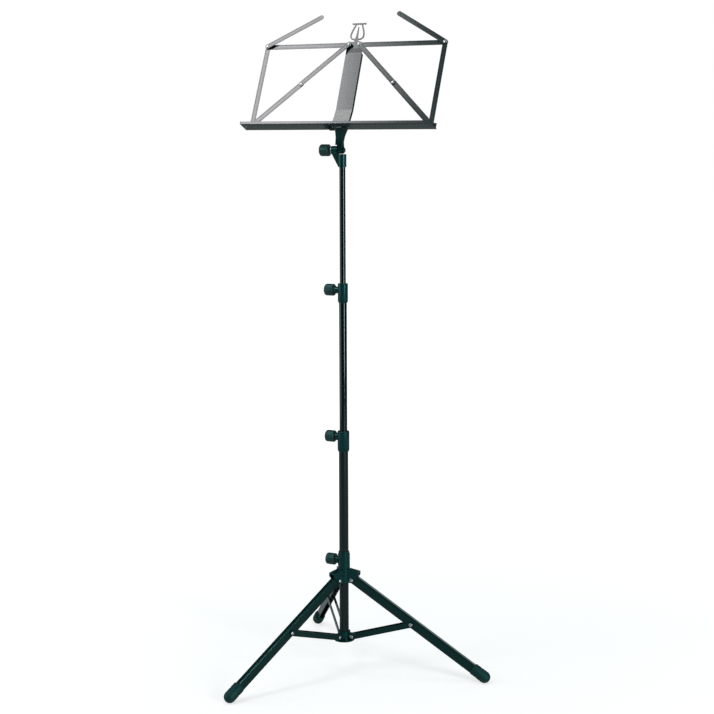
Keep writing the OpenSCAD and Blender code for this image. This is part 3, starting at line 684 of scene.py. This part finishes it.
def pressed_bar(node, start, end, width, rear):
    """A round-ended bar from start to end with a pressed groove between its eyes."""
    along = (end - start).to_2d()
    length = along.length
    place = DESK @ Matrix.Translation((start.x, start.y, rear)) @ Matrix.Rotation(
        math.atan2(along.y, along.x), 4, "Z")
    edge = 0.00025
    border = 0.0021
    slope = 0.0006
    groove = 0.0002
    inset = width / 2 - border
    eye = width / 2 + 0.0015
    # Each ring has a radius round its ends, a distance in from them, and a height
    rings = [(width / 2 - edge, 0, 0), (width / 2, 0, edge), (width / 2, 0, BAR - edge),
             (width / 2 - edge, 0, BAR), (inset, eye, BAR), (inset - slope, eye, BAR - groove)]
    shape = bmesh.new()
    loops = []
    steps = 16
    for radius, start_at, height in rings:
        loop = []
        for end_x, first in ((length - start_at, -90), (start_at, 90)):
            for step in range(steps + 1):
                turn = math.radians(first + 180 * step / steps)
                point = Vector((end_x + radius * math.cos(turn), radius * math.sin(turn), height))
                loop.append(shape.verts.new(place @ point))
        loops.append(loop)
    count = len(loops[0])
    for low, high in zip(loops, loops[1:]):
        for step in range(count):
            after = (step + 1) % count
            shape.faces.new((low[step], low[after], high[after], high[step]))
    shape.faces.new(list(reversed(loops[0])))
    shape.faces.new(loops[-1])
    smooth_by_angle(shape, BAR_SHARP_TURN)
    mesh = mesh_from(shape, node)
    return new_piece(node + "_pressed", mesh, desk_paint, BODY_OF[node], [node])


BAR_WIDTH = 0.012
LOW_LINK_WIDTH = 0.013
ARM_WIDTH = 0.0115
ARM_LENGTH = 0.14625
# Each page arm's layer, and how far it rises in degrees
ARMS = {"right": (3, 31.0), "left": (4, 29.2)}
# Head radius, dome height and shank radius of the desk's rivets
DESK_RIVET = (0.004, 0.00135, 0.002)
TAIL_DOME = 0.0012


def set_rivet(node, point, rear, front):
    """A rivet through the desk at a point, its heads bearing on rear and front."""
    foot = DESK @ Vector((point.x, point.y, rear))
    face = DESK @ Vector((point.x, point.y, front))
    rivets(node, [(foot, -out_of_desk), (face, out_of_desk)], (*DESK_RIVET, (front - rear) / 2))


for side, sign in (("right", 1), ("left", -1)):
    centre_top = on_desk(joint_at("top_bar_fold_" + side))
    corner = on_desk(joint_at("page_arm_turn_" + side))
    ledge_end = on_desk(joint_at("side_bar_fold_" + side))
    low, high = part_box("elbow_rivet_" + side)
    elbow = on_desk((low + high) / 2)
    arm_layer, rise = ARMS[side]
    tip = corner + ARM_LENGTH * Vector((-sign * math.cos(math.radians(rise)),
                                        math.sin(math.radians(rise)), 0))
    pressed_bar("side_bar_" + side, ledge_end, corner, BAR_WIDTH, layer(2))
    pressed_bar("top_bar_" + side, centre_top, corner, BAR_WIDTH, layer(1))
    pressed_bar("upper_link_" + side, centre_top, elbow, BAR_WIDTH, layer(4))
    pressed_bar("lower_link_" + side, ledge_end, elbow, LOW_LINK_WIDTH, layer(3))
    pressed_bar("page_arm_" + side, corner, tip, ARM_WIDTH, layer(arm_layer))

    # Rivets through as many layers as each has to hold; each half of an elbow has its own head
    front = layer(arm_layer) + BAR + GAP
    set_rivet("tray_rivet_" + side, ledge_end, layer(1) - GAP, layer(3) + BAR + GAP)
    set_rivet("corner_rivet_" + side, corner, layer(1) - GAP, front)
    head = DESK @ Vector((elbow.x, elbow.y, layer(4) + BAR + GAP))
    tail = DESK @ Vector((elbow.x, elbow.y, layer(3) - GAP))
    rivets("elbow_rivet_" + side, [(head, out_of_desk)], (*DESK_RIVET, BAR))
    rivets("elbow_tail_" + side, [(tail, -out_of_desk)],
           (DESK_RIVET[0], TAIL_DOME, DESK_RIVET[2], BAR))

# The rivets that hold the frame to the back plate, and the ledge's two pivots. Their heads are
# on the desk body, with half of the shank behind each head.
CENTRE_REAR = -0.00385
CENTRE_SHANK = 0.0056
LEDGE_SHANK = 0.0018
centre_heads = []
ledge_heads = []
for side in ("right", "left"):
    top = on_desk(joint_at("top_bar_fold_" + side))
    foot = on_desk(joint_at("tray_fold_" + side))
    for heads, point, rear, front in (
            (centre_heads, top, CENTRE_REAR, layer(4) + BAR + GAP),
            (ledge_heads, foot, -BAR - GAP, layer(1) + BAR + GAP)):
        heads.append((DESK @ Vector((point.x, point.y, rear)), -out_of_desk))
        heads.append((DESK @ Vector((point.x, point.y, front)), out_of_desk))
rivets("centre_rivets", centre_heads, (*DESK_RIVET, CENTRE_SHANK))
rivets("tray_pivots", ledge_heads, (*DESK_RIVET, LEDGE_SHANK))

# Black steel spacers on the centre rivets, and on the left corner rivet, hold the outer bars
# level with each other where a layer of the frame is missing.
def spacer(name, body, point, rear, front):
    """A turned collar between two layers of the desk."""
    outer = 0.004
    bore = 0.0021
    chamfer = 0.0002
    profile = [(outer - chamfer, rear), (outer, rear + chamfer), (outer, front - chamfer),
               (outer - chamfer, front), (bore, front), (bore, rear)]
    place = DESK @ Matrix.Translation((point.x, point.y, 0))
    new_piece(name, turned(name, profile, place, 32), desk_paint, body, [])


for side in ("right", "left"):
    spacer("centre_spacer_" + side, "desk", on_desk(joint_at("top_bar_fold_" + side)),
           layer(1) + BAR + GAP, layer(4) - GAP)
spacer("corner_spacer_left", "top_bar_left", on_desk(joint_at("page_arm_turn_left")),
       layer(2) + BAR + GAP, layer(4) - GAP)
